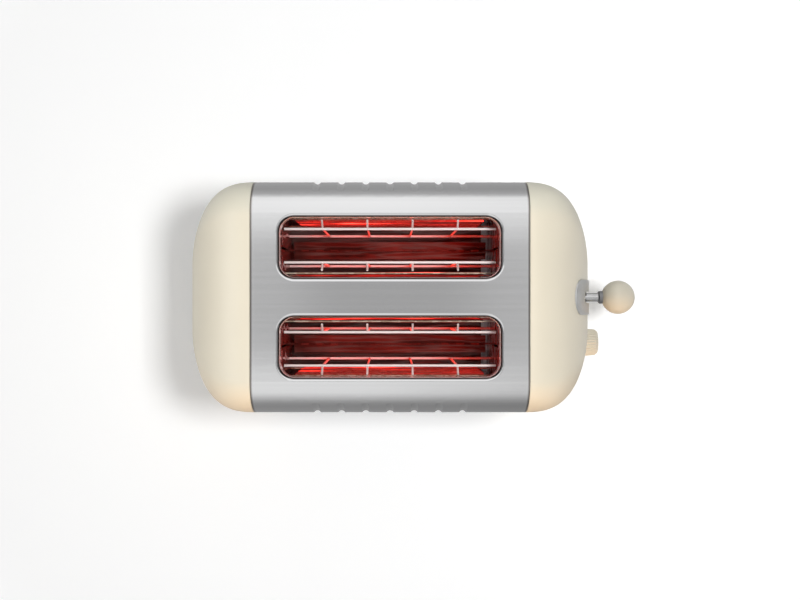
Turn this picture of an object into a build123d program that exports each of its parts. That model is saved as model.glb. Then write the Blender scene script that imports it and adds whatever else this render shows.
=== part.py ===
from build123d import *
import math
import os

# A two-slot toaster, in millimetres. X runs from the rear end to the lever end, Z is up from the table.
# Shapes are drawn about the middle of the steel wrap, and moved onto the row's origin when they are written.

# Body shell
wrap_length = 203.4
body_width = 174.0
body_top = 205.0
body_bottom = 9.0
shoulder_width = 25.5
shoulder_height = 44.0
keel_radius = 10.0
sheet = 0.9
bottom_flange = 11.0

# End caps
cap_depth = 59.0
cap_wall = 2.5
widest_level = 60.0
end_sweep = 81.0
cap_stations = 7
plan_power = 2.75
lift_power = 4.0
corner_chords = 3
seam_gap = 0.3
spigot_length = 6.0
spigot_wall = 1.6
sheet_fit = 0.3

# Bread slots
slot_length = 160.8
slot_width = 43.6
slot_centre_y = 36.4
slot_corner = 11.0
lip_roll = 3.0
lip_depth = 14.0

# Pressed flutes on both long sides, turned over the shoulder by an angle of its ellipse
flute_count = 7
flute_pitch = 18.2
flute_radius = 3.0
flute_depth = 1.5
flute_low = 60.0
flute_turn = 47.0
flute_arcs = 2

# Base plate, feet and crumb tray
base_end_gap = 0.25
base_side_inset = 11.0
base_thickness = 1.2
plate_fit = 0.1
vent_count = 4
vent_pitch = 32.0
vent_length = 34.0
vent_width = 4.0
vent_y = 30.0
foot_end_inset = 25.0
foot_side_inset = 22.0
foot_radius = 9.0
foot_toe_radius = 7.5
foot_stem_radius = 3.0
stem_fit = 0.2
tray_side_inset = 18.0
tray_floor_low = 15.6
tray_sheet = 0.8
tray_wall_top = 24.0
tray_front_gap = 6.0
tray_rear_inset = 22.0
tray_window_low = 13.4
tray_window_high = 26.2
tray_window_fit = 0.5
tray_corner = 4.0
tray_pull_half = 22.0
tray_pull_reach = 3.5
tray_pull_height = 2.4
runner_offset = 10.0
runner_width = 4.0
runner_fit = 0.2

# Bulkheads that close the bread chamber
bulkhead_setback = 17.7
bulkhead_sheet = 1.2
foot_flange = 11.0
foot_flange_half = 48.0

# Bread chambers: racks, guards and heaters
chamber_y = 38.5
rack_level = 62.0
rack_end_gap = 5.0
rack_sheet = 1.2
rack_height = 8.0
rack_wing = 7.0
tooth_count = 13
tooth_height = 3.0
tongue_reach = 3.8
rack_slot_fit = 0.4
guard_half_gap = 12.5
guard_pivot_z = 54.0
guard_rail_z = 178.0
guard_tip_z = 187.0
guard_flare = 6.0
guard_rail_radius = 1.0
guard_wire_radius = 0.8
guard_wires = 4
guard_wire_pitch = 33.6
guard_pivot_fit = 0.06
heater_half_gap = 20.5
mica = 1.0
mica_low = 46.0
mica_top = 174.0
mica_waist_low = 60.0
mica_waist_high = 170.0
mica_end_gap = 1.5
mica_waist_depth = 11.0
tab_height = 8.0
tab_fit = 0.15
ribbon_runs = 6
ribbon_pitch = 18.0
ribbon_height = 3.0
ribbon_thickness = 0.4
ribbon_gap = 0.15
ribbon_low = 63.5
ribbon_samples = 24
reflector_sheet = 0.5
reflector_low = 28.0
reflector_top = 188.0
reflector_fit = 0.1
inner_reflector_y = 11.0
outer_reflector_y = 63.5

# Lever, carriage, guide rod and latch
lever_travel = 68.0
stem_level = 76.0
stem_radius = 3.6
ball_radius = 13.7
ball_stand_off = 26.7
ball_flat = 0.9
ball_bore_depth = 10.0
collar_radius = 5.2
collar_length = 3.6
lever_slot_width = 9.0
bezel_width = 27.0
bezel_margin = 16.0
bezel_thickness = 1.1
bezel_gap = 0.1
rod_stand_off = 18.8
rod_radius = 3.0
rod_fit = 0.05
rod_low = 30.0
rod_high = 184.0
ear_low = 34.0
ear_high = 177.0
ear_half = 9.0
ear_reach = 8.0
bracket_stand_off = 6.8
bracket_sheet = 1.5
bracket_height = 12.0
bracket_overhang = 7.5
sleeve_radius = 6.0
sleeve_height = 26.0
socket_radius = 5.6
socket_reach = 18.0
socket_depth = 11.0
press_gap = 0.02
latch_y = 22.0
latch_half = 7.0
armature_thickness = 2.2
latch_gap = 0.15
magnet_height = 23.0
magnet_sheet = 3.0
core_stand_off = 11.8
core_radius = 3.5
coil_radius = 7.0
coil_height = 16.0
spring_y = -20.0
spring_setback = 4.0
spring_radius = 4.5
spring_wire = 1.2

# Controls on the lever end
control_y = 37.0
knob_z = 72.0
knob_radius = 11.8
knob_tip_radius = 10.6
knob_proud = 10.1
knob_length = 17.0
knob_fit = 0.5
knob_bevel = 2.2
knob_bevel_radius = 8.8
knob_rib_count = 30
knob_rib_depth = 0.6
knob_bore_depth = 9.0
shaft_radius = 3.0
shaft_fit = 0.05
pot_half = 8.0
pot_depth = 7.0
button_radius = 6.0
button_fit = 0.3
button_pitch = 21.0
button_low_z = 51.0
button_depth = 8.0
button_travel = 2.0
button_stem_radius = 2.0
switch_half = 3.0
switch_depth = 4.5
board_stand_off = 26.0
board_thickness = 1.6
board_low = 32.0
board_high = 152.0
board_notch_half = 8.0
board_notch_low = 62.0
board_corner = 4.0
post_radius = 3.5
post_inset = 8.0
post_clearance = 0.5

# Fasteners and cable gland
screw_radius = 1.95
screw_hole_radius = 2.2
screw_head_radius = 3.6
screw_head_height = 2.4
cap_screw_length = 14.0
base_screw_length = 4.6
thread_gap = 0.04
boss_radius = 4.5
boss_side_inset = 18.0
boss_z = 88.0
base_screw_reach = 7.0
base_screw_y = 40.0
gland_side_inset = 42.0
gland_z = 36.0
gland_hole_radius = 6.0
gland_fit = 0.1
gland_flange_radius = 8.5
gland_bore_radius = 3.6
gland_lip = 1.6

# What the driving sizes settle
seam_x = wrap_length / 2 + seam_gap
cap_reach = seam_x + cap_depth * math.sin(math.radians(end_sweep))
ball_x = cap_reach + ball_stand_off
ball_reach = ball_x + ball_radius
origin_x = (ball_reach - cap_reach) / 2
base_low = body_bottom + sheet + plate_fit
base_top = base_low + base_thickness
base_half_length = wrap_length / 2 - spigot_length - base_end_gap
base_half_width = body_width / 2 - base_side_inset
foot_x = wrap_length / 2 - foot_end_inset
foot_y = body_width / 2 - foot_side_inset
runner_y = foot_y - runner_offset
bottom_gap_half = foot_y - bottom_flange
gland_y = body_width / 2 - gland_side_inset
bulkhead_x = wrap_length / 2 - bulkhead_setback
bulkhead_out = bulkhead_x + bulkhead_sheet
tray_half_width = body_width / 2 - tray_side_inset
tray_front_x = bulkhead_x - tray_front_gap
tray_rear_x = cap_reach - tray_rear_inset
rack_half_length = bulkhead_x - rack_end_gap
tongue_rear = bulkhead_out + tongue_reach
mica_half_length = bulkhead_x - mica_end_gap
ribbon_run = 2 * (mica_half_length - mica_waist_depth)
bracket_x = bulkhead_out + bracket_stand_off
bracket_half_length = chamber_y + bracket_overhang
core_x = bulkhead_out + core_stand_off
rod_x = bulkhead_out + rod_stand_off
spring_x = rod_x - spring_setback
socket_x = rod_x + socket_reach
board_x = seam_x + board_stand_off
post_y = bracket_half_length + post_radius + post_clearance
board_half_width = post_y + post_inset
knob_end_x = cap_reach + knob_proud
boss_y = body_width / 2 - boss_side_inset
base_screw_x = bulkhead_x + base_screw_reach
slot_low = rack_level - rack_slot_fit
slot_high = rack_level + rack_height + lever_travel + rack_slot_fit
armature_low = rack_level - armature_thickness


def body_section(x, half_width, low, high, shoulder, keel):
    """The body's outline across X: flat top, elliptical shoulders, upright sides and round keels."""
    wide, tall = shoulder
    flat = half_width - wide
    spring = high - tall
    foot = half_width - keel
    right = Pos(flat, spring) * EllipticalCenterArc((0, 0), wide, tall, arc_size=90)
    left = Pos(-flat, spring) * EllipticalCenterArc((0, 0), wide, tall, start_angle=90, arc_size=90)
    keel_left = CenterArc((-foot, low + keel), keel, 180, 90)
    keel_right = CenterArc((foot, low + keel), keel, 270, 90)
    outline = Curve() + [
        right, Line(right @ 1, left @ 0), left, Line(left @ 1, keel_left @ 0),
        keel_left, Line(keel_left @ 1, keel_right @ 0), keel_right, Line(keel_right @ 1, right @ 0)]
    return Plane.YZ.offset(x) * make_face(outline)


def chorded_section(x, half_width, low, high, shoulder, keel):
    """The same outline with straight chords round its corners, for faces that don't show."""
    wide, tall = shoulder
    corners = [(half_width - wide, high - tall, wide, tall), (wide - half_width, high - tall, wide, tall),
               (keel - half_width, low + keel, keel, keel), (half_width - keel, low + keel, keel, keel)]
    points = []
    for i, (y, z, reach_y, reach_z) in enumerate(corners):
        for j in range(corner_chords + 1):
            turn = math.radians(90 * (i + j / corner_chords))
            points.append((y + reach_y * math.cos(turn), z + reach_z * math.sin(turn)))
    return Plane.YZ.offset(x) * make_face(Polyline(*points, close=True))


def wrap_section(x, inset):
    return body_section(x, body_width / 2 - inset, body_bottom + inset, body_top - inset,
                        (shoulder_width - inset, shoulder_height - inset), keel_radius - inset)


def wrap_bar(x, length, inset):
    return extrude(wrap_section(x, inset), length)


def cap_form(inset, smooth=True):
    """The domed end of the body as a solid: sections that narrow, drop and lift towards the end."""
    section = body_section if smooth else chorded_section
    sections = []
    for i in range(cap_stations):
        along = math.sin(math.radians(end_sweep * i / (cap_stations - 1)))
        narrow = math.sqrt(1 - along ** plan_power)
        drop = math.sqrt(1 - along ** 2)
        lift = (1 - along ** lift_power) ** (1 / lift_power)
        low = widest_level - (widest_level - body_bottom - inset) * lift
        high = widest_level + (body_top - inset - widest_level) * drop
        shoulder = ((shoulder_width - inset) * narrow, (shoulder_height - inset) * narrow)
        sections.append(section(seam_x + along * (cap_depth - inset),
                                (body_width / 2 - inset) * narrow, low, high, shoulder,
                                (keel_radius - inset) * narrow))
    return loft(sections, ruled=not smooth)


def rod_x_axis(radius, x_from, x_to, y, z):
    """A round bar along X."""
    bar = Cylinder(radius, x_to - x_from, align=(Align.CENTER, Align.CENTER, Align.MIN))
    return Pos(x_from, y, z) * Rot(0, 90, 0) * bar


def rod_z_axis(radius, z_from, z_to, x, y):
    """A round bar along Z."""
    return Pos(x, y, z_from) * Cylinder(radius, z_to - z_from, align=(Align.CENTER, Align.CENTER, Align.MIN))


def block(x_from, x_to, y_from, y_to, z_from, z_to):
    """A square-cornered block between two corners."""
    size = Box(x_to - x_from, y_to - y_from, z_to - z_from, align=(Align.MIN, Align.MIN, Align.MIN))
    return Pos(x_from, y_from, z_from) * size


def upright_pill(width, low, high, x_from, x_to, y=0.0):
    """A bar along X whose outline is a standing slot from low to high."""
    outline = Pos(y, (low + high) / 2) * SlotOverall(high - low, width, rotation=90)
    return extrude(Plane.YZ.offset(x_from) * outline, x_to - x_from)


def to_rear(shape):
    """The same shape at the opposite end of the body."""
    return mirror(shape, about=Plane.YZ)


def slot_prism(grow, z_from):
    outline = Sketch() + [
        Pos(0, side * slot_centre_y)
        * RectangleRounded(slot_length + 2 * grow, slot_width + 2 * grow, slot_corner + grow)
        for side in (-1, 1)
    ]
    return extrude(Pos(0, 0, z_from) * outline, body_top + lip_roll - z_from)


def top_rim(shape):
    """The edges where the bread slots break through the top."""
    edges = [e for e in shape.edges() if e.bounding_box().min.Z > body_top - 2 * lip_roll]
    return [e for e in edges if abs(e.center().X) < wrap_length / 2 - lip_roll]


def flute_path(extra):
    """Up the side and over the shoulder, just off the sheet, with some extra length at both ends."""
    stand_off = flute_radius - flute_depth
    points = []
    for i in range(flute_arcs + 1):
        turn = math.radians(flute_turn * i / flute_arcs)
        lean = math.atan2(shoulder_width * math.sin(turn), shoulder_height * math.cos(turn))
        points.append((body_width / 2 - shoulder_width * (1 - math.cos(turn)) + stand_off * math.cos(lean),
                       body_top - shoulder_height * (1 - math.sin(turn)) + stand_off * math.sin(lean)))
    stretches = [Line((points[0][0], flute_low - extra), points[0])]
    for start, end in zip(points, points[1:]):
        stretches.append(TangentArc(start, end, tangent=stretches[-1] % 1))
    if extra:
        top = stretches[-1] @ 1
        stretches.append(Line(top, top + (stretches[-1] % 1) * extra))
    return Wire([Plane.YZ * stretch for stretch in stretches])


def flute_bars(section, rounded):
    """Bars laid against both long sides, one for each flute, with round ends where they show."""
    path = flute_path(0 if rounded else flute_radius)
    bar = sweep(Plane(path @ 0) * section, path)
    if rounded:
        bar += [Pos(*(path @ end)) * Sphere(flute_radius) for end in (0, 1)]
    bars = []
    for i in range(flute_count):
        x = (i - (flute_count - 1) / 2) * flute_pitch
        bars.append(Pos(x, 0, 0) * bar)
        bars.append(Pos(x, 0, 0) * mirror(bar, about=Plane.XZ))
    return bars


def foot_places():
    return [(sx * foot_x, sy * foot_y) for sx in (-1, 1) for sy in (-1, 1)]


def base_screw_places():
    return [(sx * base_screw_x, sy * base_screw_y) for sx in (-1, 1) for sy in (-1, 1)]


def boss_places():
    return [(sy * boss_y, boss_z) for sy in (-1, 1)]


def make_wrap():
    """One steel sheet: sides, shoulders and top, with the slot lips rolled in and the flutes pressed."""
    outer = wrap_bar(-wrap_length / 2, wrap_length, 0) - slot_prism(0, body_top - lip_depth - lip_roll)
    outer = fillet(top_rim(outer), lip_roll)
    outer -= flute_bars(Circle(flute_radius), True)
    inner = wrap_bar(-wrap_length / 2 - 1, wrap_length + 2, sheet)
    inner -= slot_prism(sheet, body_top - lip_depth)
    inner = chamfer(top_rim(inner), lip_roll - sheet)
    inner -= flute_bars(RegularPolygon(flute_radius + 2 * sheet, 6), False)
    inner += slot_prism(0, body_top - lip_depth - 2 * lip_roll) & block(
        -wrap_length, wrap_length, -body_width, body_width, body_top - lip_depth - 2 * lip_roll,
        body_top - lip_depth)
    wrap = outer - inner
    wrap -= block(-wrap_length, wrap_length, -bottom_gap_half, bottom_gap_half, 0, base_top)
    for x, y in foot_places():
        wrap -= rod_z_axis(foot_stem_radius + stem_fit, 0, base_top, x, y)
    return wrap


def cap_shell(outer, inner):
    """A hollow end cap with the spigot that enters the wrap and the screw bosses inside."""
    start = wrap_length / 2 - spigot_length
    length = spigot_length + seam_gap + 1
    outside = sheet + sheet_fit
    spigot = wrap_bar(start, length, outside) - wrap_bar(start - 1, length + 2, outside + spigot_wall)
    shell = outer - inner + spigot
    for y, z in boss_places():
        boss = rod_x_axis(boss_radius, seam_x, cap_reach, y, z) & outer
        shell += boss
        shell += rod_x_axis(boss_radius, bulkhead_out + plate_fit, seam_x + 1, y, z)
    for y, z in boss_places():
        shell -= rod_x_axis(screw_radius + thread_gap, bulkhead_x, bulkhead_x + cap_screw_length + 2, y, z)
    return shell


def lever_slot():
    low = stem_level - lever_slot_width / 2
    high = stem_level + lever_travel + lever_slot_width / 2
    return upright_pill(lever_slot_width, low, high, socket_x, cap_reach + bezel_margin)


def button_heights():
    return [button_low_z + i * button_pitch for i in range(3)]


def make_front_cap(shell):
    cap = shell - lever_slot()
    cap -= rod_x_axis(knob_radius + knob_fit, board_x, ball_x, -control_y, knob_z)
    for z in button_heights():
        cap -= rod_x_axis(button_radius + button_fit, board_x, ball_x, control_y, z)
    return cap


def tray_window(fit):
    return block(-ball_x, -tray_rear_x + tray_corner, -tray_half_width + fit, tray_half_width - fit,
                 tray_window_low + fit, tray_window_high - fit)


def make_rear_cap(shell):
    cap = to_rear(shell) - tray_window(0)
    cap -= rod_x_axis(gland_hole_radius, -ball_x, -board_x, gland_y, gland_z)
    return cap


def make_bezel(band):
    """The pill-shaped steel plate round the lever slot, bent to the cap's dome."""
    low = stem_level - bezel_margin - bezel_width / 2
    high = stem_level + lever_travel + bezel_margin + bezel_width / 2
    plate = band & upright_pill(bezel_width, low, high, board_x, ball_x)
    return plate - lever_slot()


def make_bulkhead(front):
    """A steel end plate of the bread chamber, bent out at its foot and, in front, into the rod's ears."""
    plate = extrude(wrap_section(bulkhead_x, sheet + sheet_fit), bulkhead_sheet)
    plate -= block(0, ball_x, -body_width, body_width, 0, base_top)
    plate += block(bulkhead_x, bulkhead_x + foot_flange, -foot_flange_half, foot_flange_half,
                   base_top, base_top + bulkhead_sheet)
    for y in (-base_screw_y, base_screw_y):
        plate -= rod_z_axis(screw_radius + thread_gap, 0, base_top + 2 * bulkhead_sheet, base_screw_x, y)
    for y, z in boss_places():
        plate -= rod_x_axis(screw_hole_radius, 0, socket_x, y, z)
    for side in (-1, 1):
        y = side * chamber_y
        half = rack_sheet / 2 + rack_slot_fit
        plate -= block(0, socket_x, y - half, y + half, slot_low, slot_high)
        for way in (-1, 1):
            pivot_y = y + way * guard_half_gap
            pivot_hole = guard_rail_radius + guard_pivot_fit
            plate -= rod_x_axis(pivot_hole, 0, socket_x, pivot_y, guard_pivot_z)
            board_y = y + way * heater_half_gap
            half_tab = mica / 2 + tab_fit
            for low in (mica_low, mica_top - tab_height):
                plate -= block(0, socket_x, board_y - half_tab, board_y + half_tab,
                               low - tab_fit, low + tab_height + tab_fit)
    if front:
        ear_x = rod_x + ear_reach
        plate += block(bulkhead_x, ear_x, -ear_half, ear_half, ear_low, ear_low + bulkhead_sheet)
        plate += block(bulkhead_x, ear_x, spring_y - ear_half, ear_half, ear_high,
                       ear_high + bulkhead_sheet)
        plate -= rod_z_axis(rod_radius + rod_fit, 0, body_top, rod_x, 0)
        return plate
    plate = to_rear(plate)
    window_top = tray_wall_top + 2 * tray_window_fit
    return plate - block(-ball_x, 0, -tray_half_width - tray_window_fit,
                         tray_half_width + tray_window_fit, base_top + bulkhead_sheet, window_top)


def make_base_plate():
    outline = RectangleRounded(2 * base_half_length, 2 * base_half_width, tray_corner)
    for i in range(vent_count):
        x = (i - (vent_count - 1) / 2) * vent_pitch
        for side in (-1, 1):
            outline -= Pos(x, side * vent_y) * SlotOverall(vent_length, vent_width, rotation=90)
    plate = extrude(Pos(0, 0, base_low) * outline, base_thickness)
    for side in (-1, 1):
        low_y = side * runner_y - runner_width / 2
        plate += block(-bulkhead_x + 1, bulkhead_x - 1, low_y, low_y + runner_width,
                       base_top, tray_floor_low - runner_fit)
    for x, y in foot_places():
        plate -= rod_z_axis(foot_stem_radius + stem_fit, 0, base_top, x, y)
    for x, y in base_screw_places():
        plate -= rod_z_axis(screw_hole_radius, 0, base_top, x, y)
    return plate


def make_feet():
    """Four rubber feet, each a tapered pad with a stem pushed up through the sheet."""
    profile = Plane.XZ * make_face(Polyline(
        (0, 0), (foot_toe_radius, 0), (foot_radius, body_bottom), (foot_stem_radius, body_bottom),
        (foot_stem_radius, base_top + bulkhead_sheet), (0, base_top + bulkhead_sheet), (0, 0)))
    foot = revolve(profile, Axis.Z)
    return [Pos(x, y, 0) * foot for x, y in foot_places()]


def make_tray(rear_shell):
    """A shallow pan whose end panel is the piece of the rear cap that its window leaves."""
    middle = (tray_front_x - tray_rear_x) / 2
    outline = RectangleRounded(tray_front_x + tray_rear_x, 2 * tray_half_width - 2, tray_corner)
    hollow = RectangleRounded(tray_front_x + tray_rear_x - 2 * tray_sheet,
                              2 * tray_half_width - 2 - 2 * tray_sheet, tray_corner - tray_sheet)
    pan = extrude(Pos(middle, 0, tray_floor_low) * outline, tray_wall_top - tray_floor_low)
    pan -= extrude(Pos(middle, 0, tray_floor_low + tray_sheet) * hollow, tray_wall_top)
    panel = rear_shell & tray_window(tray_window_fit)
    panel = panel.solids().sort_by(SortBy.VOLUME)[-1]
    panel_x = panel.bounding_box().min.X
    web = block(panel_x + cap_wall, -tray_rear_x + tray_sheet, -tray_pull_half, tray_pull_half,
                tray_floor_low, tray_floor_low + tray_pull_height)
    pull_high = tray_window_high - tray_window_fit
    pull = block(panel_x - tray_pull_reach, panel_x + cap_wall, -tray_pull_half, tray_pull_half,
                 pull_high - tray_pull_height, pull_high)
    pull = fillet(pull.edges().group_by(Axis.X)[0].filter_by(Axis.Z), tray_pull_reach - 1)
    return pan + panel + web + pull


def make_rack(side):
    """A toothed steel strip with flat wings that carries the slice, tongued through both bulkheads."""
    teeth = [(-rack_half_length, rack_level + rack_height)]
    pitch = 2 * rack_half_length / tooth_count
    for i in range(tooth_count):
        x = -rack_half_length + i * pitch
        teeth.append((x + pitch / 2, rack_level + rack_height + tooth_height))
        teeth.append((x + pitch, rack_level + rack_height))
    front_x = bracket_x + bracket_sheet + 1
    outline = teeth + [(front_x, rack_level + rack_height), (front_x, rack_level),
                       (-tongue_rear, rack_level), (-tongue_rear, rack_level + rack_height),
                       (-rack_half_length, rack_level + rack_height)]
    y = side * chamber_y
    strip = extrude(Plane.XZ.offset(-y) * make_face(Polyline(*outline)), rack_sheet / 2, both=True)
    wing_z = rack_level + rack_height / 2
    return strip + block(-rack_half_length, rack_half_length, y - rack_wing, y + rack_wing,
                         wing_z, wing_z + rack_sheet)


def make_guard(side, way):
    """A wire guard: a pivot rail, four uprights and a top rail, with the tips flared off the slice."""
    y = side * (chamber_y + way * guard_half_gap)
    out = side * way
    pivot_half = bulkhead_out
    guard = rod_x_axis(guard_rail_radius, -pivot_half, pivot_half, y, guard_pivot_z)
    guard += rod_x_axis(guard_rail_radius, -rack_half_length, rack_half_length, y, guard_rail_z)
    for i in range(guard_wires):
        x = (i - (guard_wires - 1) / 2) * guard_wire_pitch
        bend = (x, y, guard_rail_z)
        tip = (x, y + out * guard_flare, guard_tip_z)
        wire = FilletPolyline((x, y, guard_pivot_z), bend, tip, radius=2 * guard_flare)
        guard += sweep(Pos(x, y, guard_pivot_z) * RegularPolygon(guard_wire_radius, 6), wire)
    return guard


def make_mica(side, way):
    """A mica card: full length at its top and bottom, waisted between for the ribbon's turns."""
    waist = (mica_waist_low, mica_waist_high)
    card = Pos(0, (mica_low + mica_top) / 2) * Rectangle(2 * mica_half_length, mica_top - mica_low)
    for end in (-1, 1):
        cut = Rectangle(mica_waist_depth, waist[1] - waist[0])
        card -= Pos(end * (mica_half_length - mica_waist_depth / 2), sum(waist) / 2) * cut
        for low in (mica_low, mica_top - tab_height):
            reach = bulkhead_out - mica_half_length
            tab = Pos(end * (mica_half_length + reach / 2), low + tab_height / 2)
            card += tab * Rectangle(reach, tab_height)
    y = side * (chamber_y + way * heater_half_gap)
    return extrude(Plane.XZ.offset(-y) * card, mica / 2, both=True)


def ribbon_stretches():
    """Each straight stretch of the winding: the face it lies on, and its levels at both ends."""
    stretches = []
    for i in range(ribbon_runs):
        level = ribbon_low + i * ribbon_pitch
        stretches.append((1, level, level))
        if i < ribbon_runs - 1:
            stretches.append((-1, level, level + ribbon_pitch))
    return stretches


def make_ribbon(side, way):
    """Flat ribbon wound round its card: level runs in front, climbing runs behind, half turns between."""
    half = ribbon_run / 2
    tall = ribbon_height / 2
    middle_y = side * (chamber_y + way * heater_half_gap)
    radius = (mica + ribbon_thickness) / 2 + ribbon_gap
    front = -side * way
    ring = Circle(radius + ribbon_thickness / 2) - Circle(radius - ribbon_thickness / 2)
    ring &= Pos(radius, 0) * Rectangle(2 * radius, 4 * radius)
    ribbon = Part()
    for i, (face, start, end) in enumerate(ribbon_stretches()):
        left, right = (start, end) if face > 0 else (end, start)
        run = make_face(Polyline((-half, left - tall), (half, right - tall), (half, right + tall),
                                 (-half, left + tall), (-half, left - tall)))
        y = middle_y + front * face * radius
        ribbon += extrude(Plane.XZ.offset(-y) * run, ribbon_thickness / 2, both=True)
        if i < len(ribbon_stretches()) - 1:
            turn = extrude(ring, ribbon_height)
            spin = 0 if face > 0 else 180
            ribbon += Pos(face * half, middle_y, end - tall) * Rot(0, 0, spin) * turn
    return ribbon


def ribbon_points():
    """Points along the ribbon's centre line and both its edges, in the order it is wound."""
    radius = (mica + ribbon_thickness) / 2 + ribbon_gap
    half = ribbon_run / 2
    points = []
    for face, start, end in ribbon_stretches():
        for i in range(ribbon_samples + 1):
            share = i / ribbon_samples
            points.append((face * (2 * share - 1) * half, face * radius, start + share * (end - start)))
        for i in range(1, 4):
            swing = math.radians(45 * i)
            points.append((face * (half + radius * math.sin(swing)), face * radius * math.cos(swing), end))
    return points


def ribbon_self_gap():
    """The least distance between one stretch of the winding and any other that isn't its neighbour."""
    points = ribbon_points()
    near = ribbon_run
    for i, (x, y, z) in enumerate(points):
        for u, v, w in points[i + 4:]:
            level = max(abs(z - w) - ribbon_height, 0)
            near = min(near, math.dist((x, y, 0), (u, v, level)))
    return near - ribbon_thickness


def make_outer_reflector(side):
    y = side * outer_reflector_y
    half = bulkhead_x - reflector_fit
    low_y, high_y = sorted((y, y + side * reflector_sheet))
    return block(-half, half, low_y, high_y, reflector_low, reflector_top)


def make_centre_reflector():
    """A folded sheet between the two chambers, open below."""
    half = bulkhead_x - reflector_fit
    outer_y = inner_reflector_y + reflector_sheet
    channel = block(-half, half, -outer_y, outer_y, reflector_low, reflector_top)
    return channel - block(-half - 1, half + 1, -inner_reflector_y, inner_reflector_y,
                           reflector_low - 1, reflector_top - reflector_sheet)


def make_bracket():
    """The carriage: a cross bar that holds both racks, a sleeve on the rod and a socket for the lever."""
    bar = block(bracket_x, bracket_x + bracket_sheet, -bracket_half_length, bracket_half_length,
                rack_level, rack_level + bracket_height)
    for side in (-1, 1):
        half = rack_sheet / 2 + plate_fit
        y = side * chamber_y
        bar -= block(0, rod_x, y - half, y + half, rack_level - plate_fit,
                     rack_level + rack_height + plate_fit)
    for y, half in ((latch_y, latch_half), (spring_y, spring_radius)):
        bar += block(bracket_x, core_x + coil_radius, y - half, y + half, rack_level,
                     rack_level + bracket_sheet)
    sleeve_low = rack_level
    bar += block(bracket_x, rod_x, -sleeve_radius / 2, sleeve_radius / 2, sleeve_low,
                 sleeve_low + sleeve_height)
    bar += rod_z_axis(sleeve_radius, sleeve_low, sleeve_low + sleeve_height, rod_x, 0)
    bar += rod_x_axis(socket_radius, rod_x, socket_x, 0, stem_level)
    bar -= rod_z_axis(rod_radius + rod_fit, 0, body_top, rod_x, 0)
    bar -= rod_x_axis(stem_radius + press_gap, socket_x - socket_depth, ball_x, 0, stem_level)
    return bar


def make_stem():
    return rod_x_axis(stem_radius, socket_x - socket_depth, ball_x - ball_radius + ball_bore_depth,
                      0, stem_level)


def make_ball():
    """The round grip, with a small flat for the collar and a blind bore for the stem."""
    ball = Pos(ball_x, 0, stem_level) * Sphere(ball_radius)
    flat_x = ball_x - ball_radius + ball_flat
    ball -= block(0, flat_x, -ball_x, ball_x, 0, body_top)
    bore_end = ball_x - ball_radius + ball_bore_depth
    return ball - rod_x_axis(stem_radius + press_gap, 0, bore_end, 0, stem_level)


def make_collar():
    flat_x = ball_x - ball_radius + ball_flat
    ring = rod_x_axis(collar_radius, flat_x - collar_length, flat_x, 0, stem_level)
    ring = chamfer(ring.edges().sort_by(Axis.X)[0], collar_length / 4)
    return ring - rod_x_axis(stem_radius + press_gap, 0, ball_x, 0, stem_level)


def make_armature():
    return block(bulkhead_out + plate_fit * 4, core_x + coil_radius, latch_y - latch_half,
                 latch_y + latch_half, armature_low, rack_level)


def make_magnet():
    """The latch's iron: a back limb on the bulkhead, a floor and the round core."""
    top = armature_low - latch_gap
    low = top - magnet_height
    iron = block(bulkhead_out, bulkhead_out + magnet_sheet, latch_y - latch_half, latch_y + latch_half,
                 low, top)
    iron += block(bulkhead_out, core_x + coil_radius, latch_y - latch_half, latch_y + latch_half,
                  low, low + magnet_sheet)
    return iron + rod_z_axis(core_radius, low, top, core_x, latch_y)


def make_coil():
    low = armature_low - latch_gap - magnet_height + magnet_sheet + plate_fit
    coil = rod_z_axis(coil_radius, low, low + coil_height, core_x, latch_y)
    coil -= rod_z_axis(coil_radius - 1, low + 1.5, low + coil_height - 1.5, core_x, latch_y)
    coil += rod_z_axis(coil_radius - 1, low, low + coil_height, core_x, latch_y)
    return coil - rod_z_axis(core_radius + plate_fit, 0, body_top, core_x, latch_y)


def make_spring():
    """The lift spring's envelope, hung between the carriage and the upper ear."""
    low = rack_level + bracket_sheet + plate_fit
    high = ear_high - plate_fit
    spring = rod_z_axis(spring_radius, low, high, spring_x, spring_y)
    return spring - rod_z_axis(spring_radius - spring_wire, 0, body_top, spring_x, spring_y)


def ribbed_outline(radius, level):
    """A round outline cut into fine ribs."""
    count = 2 * knob_rib_count
    points = []
    for i in range(count):
        reach = radius - (i % 2) * knob_rib_depth
        angle = 2 * math.pi * i / count
        points.append((reach * math.cos(angle), reach * math.sin(angle)))
    return Pos(0, 0, level) * make_face(Polyline(*points, close=True))


def make_knob():
    """The browning knob: a ribbed, slightly tapered barrel with a bevelled end."""
    back_x = knob_end_x - knob_length
    knob = loft([ribbed_outline(knob_radius, 0),
                 ribbed_outline(knob_tip_radius, knob_length - knob_bevel),
                 ribbed_outline(knob_bevel_radius, knob_length)], ruled=True)
    knob = Pos(back_x, -control_y, knob_z) * Rot(0, 90, 0) * knob
    return knob - rod_x_axis(shaft_radius + press_gap, 0, back_x + knob_bore_depth, -control_y, knob_z)


def make_knob_shaft():
    return rod_x_axis(shaft_radius, board_x + board_thickness + 2 * plate_fit,
                      knob_end_x - knob_length + knob_bore_depth - plate_fit, -control_y, knob_z)


def make_pot():
    """The browning control's body, soldered to the board."""
    front = board_x + board_thickness
    body = block(front, front + pot_depth, -control_y - pot_half, -control_y + pot_half,
                 knob_z - pot_half, knob_z + pot_half)
    body += rod_x_axis(shaft_radius + 1.5, front, front + 2 * pot_depth, -control_y, knob_z)
    return body - rod_x_axis(shaft_radius + shaft_fit, front + plate_fit, ball_x, -control_y, knob_z)


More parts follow.
